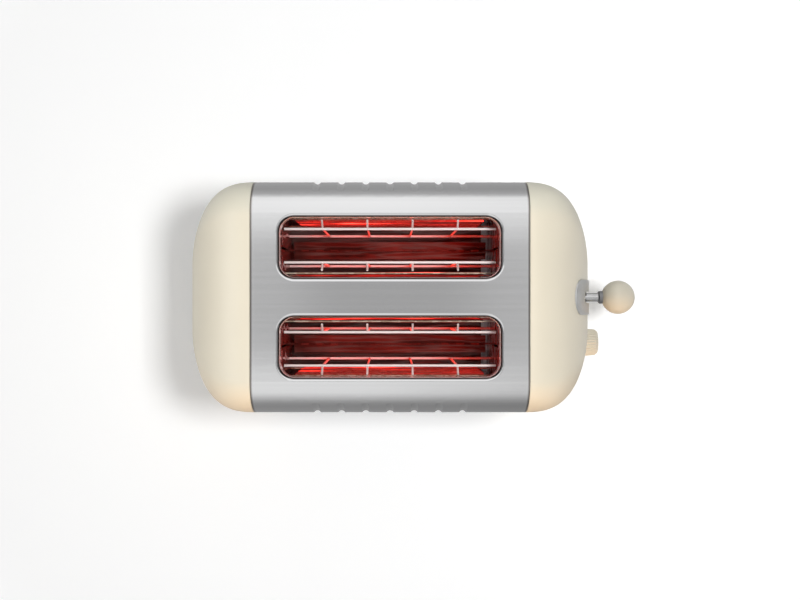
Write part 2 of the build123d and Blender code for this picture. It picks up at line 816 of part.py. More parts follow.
def make_button(raised, z):
    """A round push button whose face follows the cap's dome."""
    back_x = board_x + board_thickness + switch_depth + button_travel + runner_fit
    head = raised & rod_x_axis(button_radius, back_x, ball_x, control_y, z)
    head_back = head.bounding_box().max.X - button_depth
    head -= block(0, head_back, -ball_x, ball_x, 0, body_top)
    return head + rod_x_axis(button_stem_radius, back_x, head_back + 1, control_y, z)


def make_switches():
    front = board_x + board_thickness
    switches = []
    for z in button_heights():
        body = block(front, front + switch_depth - 1, control_y - switch_half, control_y + switch_half,
                     z - switch_half, z + switch_half)
        switches.append(body + rod_x_axis(switch_half / 2, front, front + switch_depth, control_y, z))
    return switches


def post_places():
    return [(sy * post_y, z)
            for sy in (-1, 1) for z in (board_low + post_inset, board_high - post_inset)]


def make_board():
    """The control board, notched so that the lever can pass up its middle."""
    height = board_high - board_low
    outline = Pos(0, board_low + height / 2) * RectangleRounded(2 * board_half_width, height, board_corner)
    notch_height = board_high - board_notch_low + 1
    outline -= Pos(0, board_notch_low + notch_height / 2) * Rectangle(2 * board_notch_half, notch_height)
    return extrude(Plane.YZ.offset(board_x) * outline, board_thickness)


def make_posts():
    return [rod_x_axis(post_radius, bulkhead_out, board_x, y, z) for y, z in post_places()]


def make_gland(thick, grip):
    """The rubber bushing that the mains lead leaves by, lipped over both faces of the rear cap's wall."""
    collar = rod_x_axis(gland_flange_radius, board_x, ball_x, gland_y, gland_z)
    sleeve = rod_x_axis(gland_hole_radius - gland_fit, board_x, ball_x, gland_y, gland_z)
    gland = (thick & collar) - (grip - sleeve)
    return to_rear(gland - rod_x_axis(gland_bore_radius, board_x, ball_x, gland_y, gland_z))


def pan_screw(length):
    """A pan-head screw whose head sits below the origin and whose shank points up."""
    head = Pos(0, 0, -screw_head_height) * Cylinder(
        screw_head_radius, screw_head_height, align=(Align.CENTER, Align.CENTER, Align.MIN))
    head = chamfer(head.edges().sort_by(Axis.Z)[0], screw_head_height / 3)
    return head + Cylinder(screw_radius, length, align=(Align.CENTER, Align.CENTER, Align.MIN))


def make_base_screws():
    screw = pan_screw(base_screw_length)
    return [Pos(x, y, base_low) * screw for x, y in base_screw_places()]


def make_cap_screws(front):
    turned = Pos(bulkhead_x, 0, 0) * Rot(0, 90, 0) * pan_screw(cap_screw_length)
    screws = [Pos(0, y, z) * turned for y, z in boss_places()]
    return screws if front else [to_rear(s) for s in screws]


def write(name, *pieces):
    """One file a node: its pieces as separate solids, moved onto the row's origin."""
    solids = [s for piece in pieces for s in piece.solids()]
    placed = [Pos(-origin_x, 0, 0) * s for s in solids]
    whole = placed[0] if len(placed) == 1 else Compound(children=placed)
    export_step(whole, os.path.join("parts", name + ".step"))
    print(f"{name}: {len(solids)} solid(s), {sum(s.volume for s in solids):.0f} mm3")


def main():
    os.makedirs("parts", exist_ok=True)
    outer = cap_form(0)
    inner = cap_form(cap_wall, False)
    shell = cap_shell(outer, inner)
    raised = cap_form(-bezel_thickness)
    near = cap_form(-bezel_gap)
    write("body_wrap", make_wrap())
    write("front_cap", make_front_cap(shell))
    write("rear_cap", make_rear_cap(shell))
    write("lever_bezel", make_bezel(raised - near))
    grip = near - cap_form(cap_wall + bezel_gap, False)
    write("cord_gland", make_gland(raised - cap_form(cap_wall + bezel_gap + gland_lip, False), grip))
    write("front_bulkhead", make_bulkhead(True))
    write("rear_bulkhead", make_bulkhead(False))
    write("base_plate", make_base_plate())
    write("feet", *make_feet())
    write("crumb_tray", make_tray(to_rear(outer - inner)))
    for side, hand in ((-1, "left"), (1, "right")):
        write(f"bread_rack_{hand}", make_rack(side))
        write(f"outer_reflector_{hand}", make_outer_reflector(side))
        for way, place in ((-1, "inner"), (1, "outer")):
            write(f"bread_guard_{hand}_{place}", make_guard(side, way))
            write(f"heater_card_{hand}_{place}", make_mica(side, way))
            write(f"heater_ribbon_{hand}_{place}", make_ribbon(side, way))
    write("centre_reflector", make_centre_reflector())
    write("carriage_bracket", make_bracket())
    write("guide_rod", rod_z_axis(rod_radius, rod_low, rod_high, rod_x, 0))
    write("lever_stem", make_stem())
    write("lever_collar", make_collar())
    write("lever_ball", make_ball())
    write("lift_spring", make_spring())
    write("armature_plate", make_armature())
    write("latch_magnet", make_magnet())
    write("magnet_coil", make_coil())
    write("control_board", make_board())
    write("board_posts", *make_posts())
    write("browning_control", make_pot())
    write("browning_shaft", make_knob_shaft())
    write("browning_knob", make_knob())
    for z, use in zip(button_heights(), ("defrost", "reheat", "cancel")):
        write(f"{use}_button", make_button(raised, z))
    write("button_switches", *make_switches())
    write("base_screws", *make_base_screws())
    write("front_cap_screws", *make_cap_screws(True))
    write("rear_cap_screws", *make_cap_screws(False))
    print(f"least gap between ribbon turns: {ribbon_self_gap():.2f} mm")


main()
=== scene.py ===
# %% [markdown]
# # A two-slot toaster, dressed
# The solids come from a imported CAD model, and this lesson gives them their looks: brushed steel, cream
# plastic and glowing heaters. Everything is in metres, in the CAD model's own place, so a piece is put
# where the solids say.

# %% Load the imported frame
import math

import bpy
import bmesh
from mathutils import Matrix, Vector


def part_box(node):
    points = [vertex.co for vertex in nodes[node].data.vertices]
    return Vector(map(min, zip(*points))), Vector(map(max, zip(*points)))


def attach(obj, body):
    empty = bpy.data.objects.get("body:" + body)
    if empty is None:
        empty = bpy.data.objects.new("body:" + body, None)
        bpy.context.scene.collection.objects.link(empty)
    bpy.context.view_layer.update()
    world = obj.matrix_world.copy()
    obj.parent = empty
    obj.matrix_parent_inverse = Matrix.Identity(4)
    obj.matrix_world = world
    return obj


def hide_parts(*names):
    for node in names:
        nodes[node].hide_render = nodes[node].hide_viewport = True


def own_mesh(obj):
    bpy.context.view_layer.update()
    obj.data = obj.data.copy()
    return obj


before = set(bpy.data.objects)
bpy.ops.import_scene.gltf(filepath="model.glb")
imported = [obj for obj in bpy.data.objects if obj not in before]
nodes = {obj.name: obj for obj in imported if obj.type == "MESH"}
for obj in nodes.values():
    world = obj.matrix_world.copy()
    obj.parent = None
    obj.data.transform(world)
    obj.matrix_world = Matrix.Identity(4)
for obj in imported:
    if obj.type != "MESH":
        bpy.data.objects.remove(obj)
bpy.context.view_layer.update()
scene = bpy.context.scene

# %% [markdown]
# ## Where the wrap lies
# The steel wrap isn't in the middle of the whole length, because the lever reaches further than the rear
# cap does. Its middle could be typed in, but it is measured from the wrap's box, so it stays right if the
# CAD model changes.

# %% Measure the wrap
wrap_low, wrap_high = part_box("body_wrap")
middle_x = (wrap_low.x + wrap_high.x) / 2
body_top = wrap_high.z
print("middle of the wrap:", round(middle_x, 4), "top:", round(body_top, 4))

# %% [markdown]
# ## Camera
# The toaster is seen from straight above, from about a metre over its slots. A camera could be aimed with
# a constraint, but one with no rotation already looks down its own -Z, with +Y up in the picture. So only
# its place, its lens and a small shift are set. The Standard view transform keeps the background at full
# white, where the default one would grey it.

# %% Camera over the slots
def add_object(name, data):
    """A new object, placed in the scene."""
    made = bpy.data.objects.new(name, data)
    scene.collection.objects.link(made)
    return made


camera_height = 1.0
camera_data = bpy.data.cameras.new("overhead_camera")
camera_data.lens = 61.9
camera_data.sensor_width = 36.0
camera_data.shift_x = 0.0125
camera_data.shift_y = -0.0034
camera = add_object("overhead_camera", camera_data)
camera.location = (middle_x, 0.0, body_top + camera_height)
scene.camera = camera
scene.view_settings.view_transform = "Standard"
print("camera height:", round(camera.location.z, 3))

# %% [markdown]
# ## Lamps
# The cream plastic and the floor are matt. A bright sky alone would light them evenly and throw no
# shadow, so area lamps are used, whose size sets how soft the shadow is. The key lamp stands on the
# lever's side, which throws the soft grey shadow out past the other end. One lamp is a little cooler and
# one a little warmer, which shades the caps from a grey cream to a peach cream across their width.

# %% Area lamps
def lamp(name, place, target, size, power, tint=(1.0, 1.0, 1.0)):
    """A soft rectangular lamp that faces a point, and that mirror-like surfaces don't show."""
    data = bpy.data.lights.new(name, "AREA")
    data.shape = "RECTANGLE"
    data.size, data.size_y = size
    data.energy = power
    data.color = tint
    lamp_object = add_object(name, data)
    lamp_object.location = place
    aim = Vector(target) - Vector(place)
    lamp_object.rotation_euler = aim.to_track_quat("-Z", "Y").to_euler()
    lamp_object.visible_glossy = False
    return lamp_object


body_middle = (0, 0, 0.13)
lamp("key_overhead", (0.42, 0.045, 1.72), (0, 0, 0.1), (0.30, 0.28), 19.0)
lamp("warm_near", (0.0, -1.50, 0.52), body_middle, (1.4, 0.35), 13.6, (1.0, 0.60, 0.27))
lamp("cool_far", (0.0, 1.50, 0.55), body_middle, (1.4, 0.35), 3.4, (0.80, 0.95, 1.0))
lamp("rear_fill", (-1.5, 0.0, 0.60), body_middle, (0.5, 1.0), 10.5)

# %% [markdown]
# ## Which rays see the background
# The background is white, but a white world would also flood every matt surface with light. A Light Path
# node tells the rays apart: those from the camera, off a mirror or through glass see the background, and
# the rest only light things. The sum of the three is 1 for the rays that see it, and any node tree can
# ask for it.

# %% Math helpers and the background's rays
def feed(tree, value, socket):
    """Links an output to a socket, or sets the socket to a plain value."""
    if isinstance(value, bpy.types.NodeSocket):
        tree.links.new(value, socket)
    else:
        socket.default_value = value


def math_node(tree, operation, first_value, second_value=None):
    """A Math node, whose values are outputs or plain numbers."""
    node = tree.nodes.new("ShaderNodeMath")
    node.operation = operation
    feed(tree, first_value, node.inputs[0])
    if second_value is not None:
        feed(tree, second_value, node.inputs[1])
    return node.outputs[0]


def background_rays(tree):
    """1 for the rays that see the background: from the camera, off a mirror or through glass."""
    light_path = tree.nodes.new("ShaderNodeLightPath")
    total = light_path.outputs["Is Camera Ray"]
    for label in ("Is Glossy Ray", "Is Transmission Ray"):
        total = math_node(tree, "ADD", total, light_path.outputs[label])
        total.node.use_clamp = True
    return total


print("helpers:", feed.__name__, math_node.__name__, background_rays.__name__)

# %% [markdown]
# ## World
# The world does two jobs: it fills the shadows of matt surfaces with a weak grey, and it is the white
# background. A big white dome would do the second, but a Mix Shader in the world needs no mesh. It hands
# the background's rays the white, and all others the fill.

# %% A fill for matt surfaces, and a white background
fill_level = 0.25
world = bpy.data.worlds.new("studio")
world.use_nodes = True
scene.world = world
sky = world.node_tree
sky.nodes.clear()
choice = sky.nodes.new("ShaderNodeMixShader")
sky.links.new(background_rays(sky), choice.inputs[0])
for socket, level in ((1, fill_level), (2, 1.0)):
    background = sky.nodes.new("ShaderNodeBackground")
    background.inputs["Color"].default_value = (level, level, level, 1)
    sky.links.new(background.outputs[0], choice.inputs[socket])
sky.links.new(choice.outputs[0], sky.nodes.new("ShaderNodeOutputWorld").inputs["Surface"])
print("world:", world.name, "fill:", fill_level)

# %% [markdown]
# ## Floor
# The toaster stands on a pale sheet that takes its shadow. A small sheet would show its edge behind the
# toaster when it is seen from the side, so this one runs three metres out each way.

# %% Floor sheet
floor_half = 3.0
floor_data = bpy.data.meshes.new("floor")
sheet = bmesh.new()
bmesh.ops.create_grid(sheet, x_segments=8, y_segments=8, size=floor_half)
sheet.to_mesh(floor_data)
sheet.free()
floor = add_object("floor", floor_data)
floor.location = (middle_x, 0, 0)
print("floor:", floor.name, "half of its side:", floor_half, "m")

# %% [markdown]
# Every finish in this lesson starts from one Principled BSDF, with its plain values on its own sockets.
# The floor's is a pale grey that the lamps light. Pure white paint would clip and lose the shadow, so the
# rest of its brightness is emission that only the background's rays see: little of it near the toaster,
# where the shadow lies, and full white far out, where the lamps fade.

# %% Floor paint
def finish(name, colour, metallic, roughness, **plain):
    """A new material and its shader, with the values that are the same all over."""
    material = bpy.data.materials.new(name)
    material.use_nodes = True
    shader = material.node_tree.nodes["Principled BSDF"]
    shader.inputs["Base Color"].default_value = (*colour, 1)
    shader.inputs["Metallic"].default_value = metallic
    shader.inputs["Roughness"].default_value = roughness
    for label, value in plain.items():
        shader.inputs[label.replace("_", " ")].default_value = value
    return material, shader


def vector_node(tree, operation, first_value, second_value=None):
    """A Vector Math node. SCALE takes a number second, and LENGTH and DOT_PRODUCT give one back."""
    node = tree.nodes.new("ShaderNodeVectorMath")
    node.operation = operation
    feed(tree, first_value, node.inputs[0])
    if second_value is not None:
        feed(tree, second_value, node.inputs["Scale" if operation == "SCALE" else 1])
    return node.outputs["Value" if operation in ("LENGTH", "DOT_PRODUCT") else "Vector"]


def object_place(tree):
    """The surface's own place in metres, which for a CAD node is its place in the CAD model."""
    return tree.nodes.new("ShaderNodeTexCoord").outputs["Object"]


def map_range(tree, value, low, high, to_low, to_high):
    """A value carried from one range to another, and held at the ends."""
    node = tree.nodes.new("ShaderNodeMapRange")
    for label, limit in (("From Min", low), ("From Max", high), ("To Min", to_low), ("To Max", to_high)):
        node.inputs[label].default_value = limit
    tree.links.new(value, node.inputs["Value"])
    return node.outputs["Result"]


floor_grey = 0.86
near_lift = 0.29
far_lift = 1.0
fade_from = 0.40
fade_to = 1.30
floor_paint, floor_shader = finish("floor_paint", (floor_grey, floor_grey, floor_grey), 0.0, 0.9,
                                   Emission_Color=(1, 1, 1, 1))
floor_tree = floor_paint.node_tree
how_far = vector_node(floor_tree, "LENGTH", object_place(floor_tree))
fade = map_range(floor_tree, how_far, fade_from, fade_to, near_lift, far_lift)
lift = math_node(floor_tree, "MULTIPLY", background_rays(floor_tree), fade)
floor_tree.links.new(lift, floor_shader.inputs["Emission Strength"])
floor_data.materials.append(floor_paint)
print("floor paint:", floor_paint.name, "lift:", near_lift, "to", far_lift)

# %% [markdown]
# The two tinted lamps would tint the shadow, and the rear fill would wash it out. Moving them higher
# would change the caps' shading, so they stay, and a light-linking collection that excludes the floor
# lets them light the toaster alone.

# %% Lamps that spare the floor
sparing_lamps = ("warm_near", "cool_far", "rear_fill")
spared = bpy.data.collections.new("spared_floor")
spared.objects.link(floor)
spared.collection_objects[0].light_linking.link_state = "EXCLUDE"
for name in sparing_lamps:
    bpy.data.objects[name].light_linking.receiver_collection = spared
print("lamps that spare the floor:", sparing_lamps)

# %% [markdown]
# ## The heaters' own glow
# In each chamber a red-hot ribbon is wound round a card on either side. The ribbons' emission lights the
# chambers by itself, but such thin strips make a noisy light. A red lamp as large as the winding, just in
# front of each card, gives the same glow cleanly. It faces the middle of its chamber.

# %% One red lamp in front of each heater card
slot_middle_y = 0.0364
glow_level = 2.0
glow_tint = (1.0, 0.050, 0.028)
glow_gap = 0.0006
card_places = [f"{hand}_{place}" for hand in ("left", "right") for place in ("inner", "outer")]
for card_place in card_places:
    low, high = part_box(f"heater_ribbon_{card_place}")
    centre = (low + high) / 2
    inward = math.copysign(1.0, math.copysign(slot_middle_y, centre.y) - centre.y)
    start = (centre.x, centre.y + inward * ((high.y - low.y) / 2 + glow_gap), centre.z)
    target = (start[0], start[1] + inward, start[2])
    width, height = high.x - low.x, high.z - low.z
    power = math.pi * width * height * glow_level
    glow = lamp(f"glow_{card_place}", start, target, (width, height), power, glow_tint)
    glow.visible_camera = False
print("each glow lamp is", round(1000 * width), "by", round(1000 * height), "mm, at", card_places)

# %% [markdown]
# ## What the metal sees
# Steel looks like its surroundings. A picture of a studio on the world would give it some, but nothing
# that can be set point by point, so the surroundings are built as cards: strips bent along an outline,
# each of whose points has its own brightness. Only mirror-like rays see them: they neither show in the
# picture nor light the cream.
#
# First comes a bright tent in two halves, from the table up to the ceiling, with a gap for the camera.
# The card in the gap is what the flat top sees. It is darkest in the middle, and so the top is grey
# between two bright strips.

# %% Tent and camera gap
def card_strip(name, outline, columns, turned=False):
    """A card bent along (y, z, brightness) points, which only mirror-like rays see. Each column is a place
    across the strip and what it multiplies the brightness by. Turned, the outline runs along X and the
    columns along Y."""
    corners, levels, faces = [], [], []
    for along, z, level in outline:
        for across, share in columns:
            x, y = (along, across) if turned else (across, along)
            corners.append((middle_x + x, y, z))
            levels.append(level * share)
    wide = len(columns)
    for row in range(len(outline) - 1):
        for column in range(wide - 1):
            first = row * wide + column
            faces.append((first, first + 1, first + wide + 1, first + wide))
    data = bpy.data.meshes.new(name)
    data.from_pydata(corners, [], faces)
    data.attributes.new("brightness", "FLOAT", "POINT").data.foreach_set("value", levels)
    paint = bpy.data.materials.new(name)
    paint.use_nodes = True
    tree = paint.node_tree
    tree.nodes.clear()
    read = tree.nodes.new("ShaderNodeAttribute")
    read.attribute_name = "brightness"
    emission = tree.nodes.new("ShaderNodeEmission")
    tree.links.new(read.outputs["Fac"], emission.inputs["Strength"])
    tree.links.new(emission.outputs[0], tree.nodes.new("ShaderNodeOutputMaterial").inputs["Surface"])
    data.materials.append(paint)
    card = add_object(name, data)
    for ray in ("camera", "diffuse", "transmission", "volume_scatter", "shadow"):
        setattr(card, "visible_" + ray, False)


tent_top = body_top + camera_height
tent_y = 1.6
tent_x = 0.46
gap = 0.098
on_table = 0.002
before_outline = [(-0.07, on_table, 0.35), (-0.30, on_table, 0.36), (-0.45, on_table, 0.41),
                  (-0.8, on_table, 0.52), (-tent_y, on_table, 0.67), (-tent_y, 0.2, 0.74),
                  (-tent_y, 0.42, 0.89), (-tent_y, 0.75, 1.04), (-tent_y, tent_top, 1.14),
                  (-gap, tent_top, 1.16)]
beyond_outline = [(gap, tent_top, 1.30), (tent_y, tent_top, 1.36), (tent_y, 0.40, 1.30),
                  (tent_y, 0.09, 0.86), (tent_y, on_table, 0.76), (0.6, on_table, 0.57),
                  (0.43, on_table, 0.47), (0.07, on_table, 0.43)]
gap_columns = [(-tent_x, 0.72), (-0.16, 0.70), (-0.09, 0.55), (0.09, 0.55), (0.16, 0.70), (tent_x, 0.72)]
card_strip("tent_before", before_outline, [(-tent_x, 1.02), (-0.04, 0.98), (tent_x, 0.60)])
card_strip("tent_beyond", beyond_outline, [(-tent_x, 0.98), (0.0, 1.02), (tent_x, 0.88)])
card_strip("camera_gap", [(-gap, tent_top, 1.0), (gap, tent_top, 1.0)], gap_columns)

# %% [markdown]
# The room outside the tent is dim, which draws dark lines where the steel turns away. A bright box over
# each end shows in the ends' rims. A grey wall at each end runs down and in along the table, and it is
# brighter on the lever's side, where the plated stem and slot plate need something to show.

# %% Room, side boxes and side walls
room_half = 2.2
ceiling = tent_top + 0.02
side_box_x = (0.95, 1.45)
side_box_y = 0.7
whole_room = [(-room_half, 1.0), (room_half, 1.0)]
room_outline = [(-room_half, 0.0, 0.40), (-room_half, ceiling, 0.30), (-room_half, ceiling, 0.12),
                (room_half, ceiling, 0.12), (room_half, ceiling, 0.36), (room_half, 0.0, 0.44)]
card_strip("room", room_outline, whole_room)
for side, title, level in ((-1, "rear", 0.36), (1, "lever", 0.56)):
    near, far = sorted(side * x for x in side_box_x)
    card_strip(f"side_box_{title}", [(-side_box_y, tent_top, 0.9), (side_box_y, tent_top, 0.9)],
               [(near, 1.0), (far, 1.0)])
    card_strip(f"side_wall_{title}", [(side * 0.09, 0.001, level), (side * room_half, 0.001, level * 0.85),
                                      (side * room_half, ceiling, 0.38)], whole_room, turned=True)

# %% [markdown]
# ## Brushing, as a shared effect
# An effect that several finishes use is a node group with named inputs. It gives back masks and heights,
# and each material decides what to do with them.
#
# Steel is brushed by a belt that leaves fine lines along one direction. A Wave texture would space them
# evenly, so they are noise, drawn out along that direction: the place that the noise is read at changes
# slowly along the lines and fast across them. The same place at about an eighth of the scale gives the
# broad streaks.

# %% Brushed lines
def effect_group(name, inputs, outputs):
    """A node group with (name, type, default) inputs and named float outputs, and its two ends."""
    group = bpy.data.node_groups.new(name, "ShaderNodeTree")
    for label, kind, value in inputs:
        group.interface.new_socket(label, in_out="INPUT", socket_type=kind).default_value = value
    for label in outputs:
        group.interface.new_socket(label, in_out="OUTPUT", socket_type="NodeSocketFloat")
    start = group.nodes.new("NodeGroupInput")
    end = group.nodes.new("NodeGroupOutput")
    return group, start.outputs, end.inputs


def noise_node(tree, vector, scale, detail, rough):
    """A Noise Texture read at a vector."""
    node = tree.nodes.new("ShaderNodeTexNoise")
    for label, value in (("Vector", vector), ("Scale", scale), ("Detail", detail), ("Roughness", rough)):
        feed(tree, value, node.inputs[label])
    return node.outputs["Fac"]


streak_scale = 0.12
brushed_inputs = [("Stretch", "NodeSocketVector", (6.0, 900.0, 900.0)), ("Fine", "NodeSocketFloat", 1.0)]
brushed, brushed_in, brushed_out = effect_group("brushed_lines", brushed_inputs, ["Height", "Streak"])
stretched = vector_node(brushed, "MULTIPLY", object_place(brushed), brushed_in["Stretch"])
broad_place = vector_node(brushed, "SCALE", stretched, streak_scale)
brushed.links.new(noise_node(brushed, stretched, brushed_in["Fine"], 3.0, 0.65), brushed_out["Height"])
brushed.links.new(noise_node(brushed, broad_place, 1.0, 2.0, 0.5), brushed_out["Streak"])
print("group:", brushed.name)

# %% [markdown]
# ## Distance to the slots
# The wrap's steel turns down into each slot over a rolled lip. The lip could be a second material on
# faces picked by hand, but the CAD mesh is left as it is, so the finish asks how far the surface lies
# from the slot. The place is folded over the middle, so one slot stands for both. The distance to a
# rounded rectangle is then the distance to a smaller plain one, less the corner's radius.

# %% Slot distance as a group
def split(tree, vector):
    """The X, Y and Z outputs of a vector."""
    node = tree.nodes.new("ShaderNodeSeparateXYZ")
    tree.links.new(vector, node.inputs[0])
    return node.outputs


slot_half_length = 0.0804
slot_half_width = 0.0218
slot_corner = 0.011
lips, lips_in, lips_out = effect_group(
    "slot_lip", [("Middle", "NodeSocketVector", (middle_x, slot_middle_y, 0.0))], ["Distance"])
spot = split(lips, object_place(lips))
slot_middle = split(lips, lips_in["Middle"])
along_slot = math_node(lips, "SUBTRACT", spot["X"], slot_middle["X"])
across_slot = math_node(lips, "SUBTRACT", math_node(lips, "ABSOLUTE", spot["Y"]), slot_middle["Y"])
squares = []
for offset, half in ((along_slot, slot_half_length), (across_slot, slot_half_width)):
    beyond = math_node(lips, "SUBTRACT", math_node(lips, "ABSOLUTE", offset), half - slot_corner)
    held = math_node(lips, "MAXIMUM", beyond, 0.0)
    squares.append(math_node(lips, "MULTIPLY", held, held))
to_rectangle = math_node(lips, "SQRT", math_node(lips, "ADD", *squares))
lips.links.new(math_node(lips, "SUBTRACT", to_rectangle, slot_corner), lips_out["Distance"])
print("group:", lips.name)

# %% [markdown]
# ## Seams
# Dirt and shadow gather in the fine joint where a cap meets the wrap. Ambient occlusion would find every
# hollow and not only these two, so the mask is worked out from the distance to the wrap's ends. It is 1
# at the seam and falls to 0 at its reach, on both sides of the joint.

# %% Seam shade as a group
wrap_half = (wrap_high.x - wrap_low.x) / 2
seam, seam_in, seam_out = effect_group("seam_shade", [("Reach", "NodeSocketFloat", 0.0012)], ["Mask"])
seam_x = split(seam, object_place(seam))["X"]
from_middle = math_node(seam, "ABSOLUTE", math_node(seam, "SUBTRACT", seam_x, middle_x))
from_seam = math_node(seam, "ABSOLUTE", math_node(seam, "SUBTRACT", from_middle, wrap_half))
share_of_reach = math_node(seam, "DIVIDE", from_seam, seam_in["Reach"])
nearness = math_node(seam, "MAXIMUM", math_node(seam, "SUBTRACT", 1.0, share_of_reach), 0.0)
seam.links.new(nearness, seam_out["Mask"])
print("group:", seam.name, "at", round(wrap_half, 4), "m from the middle")

# %% [markdown]
# ## From a mask to a finish
# A real surface is never one colour and one gloss all over. Painted textures would need the surface
# unfolded, so these helpers take a mask from a group instead, and let it vary the colour or the
# roughness, push the normal, or shade what is already there. They find the tree from the shader.

# %% Helpers that use a mask
def place_group(tree, group, **values):
    """A node group placed in a tree, with its own values."""
    node = tree.nodes.new("ShaderNodeGroup")
    node.node_tree = group
    for label, value in values.items():
        node.inputs[label.replace("_", " ")].default_value = value
    return node.outputs


def ramp_node(tree, mask, stops):
    """A Color Ramp through (position, colour) stops, from low to high."""
    node = tree.nodes.new("ShaderNodeValToRGB")
    elements = node.color_ramp.elements
    for index, (position, colour) in enumerate(stops):
        element = elements[index] if index < len(elements) else elements.new(position)
        element.position = position
        element.color = (*colour, 1)
    tree.links.new(mask, node.inputs["Fac"])
    return node.outputs["Color"]


def mix_colour(tree, share, under, over):
    """A colour on its way from one to another, each of them an output or a plain colour."""
    node = tree.nodes.new("ShaderNodeMix")
    node.data_type = "RGBA"
    tree.links.new(share, node.inputs["Factor"])
    for label, colour in (("A", under), ("B", over)):
        plain = not isinstance(colour, bpy.types.NodeSocket)
        feed(tree, (*colour[:3], 1) if plain else colour, node.inputs[label])
    return node.outputs["Result"]


def vary_colour(shader, mask, dark, light):
    """Base Color runs between two colours as the mask goes from 0.35 to 0.65."""
    tree = shader.id_data
    tree.links.new(ramp_node(tree, mask, [(0.35, dark), (0.65, light)]), shader.inputs["Base Color"])


def vary_roughness(shader, mask, low, high):
    """Roughness runs from low to high as the mask goes from 0.3 to 0.7."""
    tree = shader.id_data
    tree.links.new(map_range(tree, mask, 0.3, 0.7, low, high), shader.inputs["Roughness"])


def push_normal(shader, height, distance, strength):
    """A Bump node from a height to the shader's normal."""
    tree = shader.id_data
    node = tree.nodes.new("ShaderNodeBump")
    node.inputs["Distance"].default_value = distance
    node.inputs["Strength"].default_value = strength
    tree.links.new(height, node.inputs["Height"])
    tree.links.new(node.outputs["Normal"], shader.inputs["Normal"])


def shade(shader, mask, colour):
    """Takes the colour that the shader already has towards another one where the mask is high."""
    tree = shader.id_data
    socket = shader.inputs["Base Color"]
    under = socket.links[0].from_socket if socket.is_linked else socket.default_value[:]
    tree.links.new(mix_colour(tree, mask, under, colour), socket)


print("helpers:", [made.__name__ for made in (vary_colour, vary_roughness, push_normal, shade)])

# %% [markdown]
# ## Brushed steel of the wrap
# The wrap is one bent sheet of steel, brushed along its length. It could have an anisotropic shader, but
# fine lines in the roughness and the normal do the same from close by. The inner part of each lip's roll
# is painted near black, a painted shade, and the narrow flange inside each lip is paler, pinkish and less
# metallic, so that it catches the heaters' red: a painted highlight, which the red glow lamps also light.

# %% Wrap steel
lip_roll = 0.003
wrap_steel, wrap_shader = finish("wrap_steel", (0.60, 0.60, 0.605), 1.0, 0.12)
wrap_tree = wrap_steel.node_tree
brushing = place_group(wrap_tree, brushed, Stretch=(9.0, 3200.0, 3200.0))
vary_colour(wrap_shader, brushing["Streak"], (0.593, 0.593, 0.597), (0.612, 0.612, 0.616))
vary_roughness(wrap_shader, brushing["Height"], 0.10, 0.135)
lip_distance = place_group(wrap_tree, lips)["Distance"]
# Painted shade: the inner part of each lip's roll is taken to near black.
roll_painted_shade = map_range(wrap_tree, lip_distance, lip_roll * 0.62, lip_roll * 0.42, 0.0, 0.9)
shade(wrap_shader, roll_painted_shade, (0.030, 0.018, 0.016))
# Painted highlight: the flange inside each lip is painted pale pink and made less metallic.
flange_painted_highlight = math_node(wrap_tree, "LESS_THAN", lip_distance, lip_roll * 0.10)
shade(wrap_shader, flange_painted_highlight, (0.80, 0.70, 0.68))
metal_share = math_node(wrap_tree, "SUBTRACT", 1.0, math_node(wrap_tree, "MULTIPLY", flange_painted_highlight, 0.75))
wrap_tree.links.new(metal_share, wrap_shader.inputs["Metallic"])
shade(wrap_shader, place_group(wrap_tree, seam, Reach=0.0016)["Mask"], (0.16, 0.14, 0.12))
push_normal(wrap_shader, brushing["Height"], 0.00003, 0.22)
print("finish:", wrap_steel.name)

# %% [markdown]
# ## Grain, as a shared effect
# Moulded plastic, rubber and rolled sheet all have an even, fine unevenness, and slow patches over it.
# One noise texture at two scales would tie the two together, so the group reads two: one for the height,
# and one for the colour and roughness.

# %% Surface grain
grain, grain_in, grain_out = effect_group(
    "surface_grain", [("Scale", "NodeSocketFloat", 900.0), ("Patch Scale", "NodeSocketFloat", 18.0)],
    ["Height", "Patch"])
grain_place = object_place(grain)
grain.links.new(noise_node(grain, grain_place, grain_in["Scale"], 2.0, 0.55), grain_out["Height"])
grain.links.new(noise_node(grain, grain_place, grain_in["Patch Scale"], 3.0, 0.6), grain_out["Patch"])
print("group:", grain.name)

# %% [markdown]
# ## Worn edges, as a shared effect
# Handling wears a surface first along its edges. Pointiness would need a far finer mesh, so a Bevel node
# gives the normal of a rounded edge. Where that leaves the surface's own normal, there is an edge, and
# noise breaks the edge up into worn spots.

# %% Worn edges
edge_strength = 6.0
worn, worn_in, worn_out = effect_group(
    "worn_edges", [("Reach", "NodeSocketFloat", 0.0008), ("Break Up", "NodeSocketFloat", 220.0)], ["Mask"])
rounded = worn.nodes.new("ShaderNodeBevel")
rounded.samples = 4
worn.links.new(worn_in["Reach"], rounded.inputs["Radius"])
own_normal = worn.nodes.new("ShaderNodeNewGeometry").outputs["Normal"]
likeness = vector_node(worn, "DOT_PRODUCT", rounded.outputs[0], own_normal)
edge = math_node(worn, "MULTIPLY", math_node(worn, "SUBTRACT", 1.0, likeness), edge_strength)
patchy = noise_node(worn, object_place(worn), worn_in["Break Up"], 3.0, 0.6)
worn_spots = math_node(worn, "MINIMUM", math_node(worn, "MULTIPLY", edge, patchy), 1.0)
worn.links.new(worn_spots, worn_out["Mask"])


def show_edges(shader, bare, amount):
    """Lets a paler worn colour through along the edges."""
    tree = shader.id_data
    wear = place_group(tree, worn, Reach=0.0006)
    shade(shader, math_node(tree, "MULTIPLY", wear["Mask"], amount), bare)


print("group:", worn.name)

# %% [markdown]
# ## Cream plastic
# The end caps, knob, buttons and ball are moulded in cream plastic with a satin gloss. Subsurface light
# would soften it, but shells this thick hardly let light through, so a thin coat over a matt base is
# enough. The colour is never quite even over a moulding this large, and its surface carries a faint
# grain. The controls are a little darker than the caps.

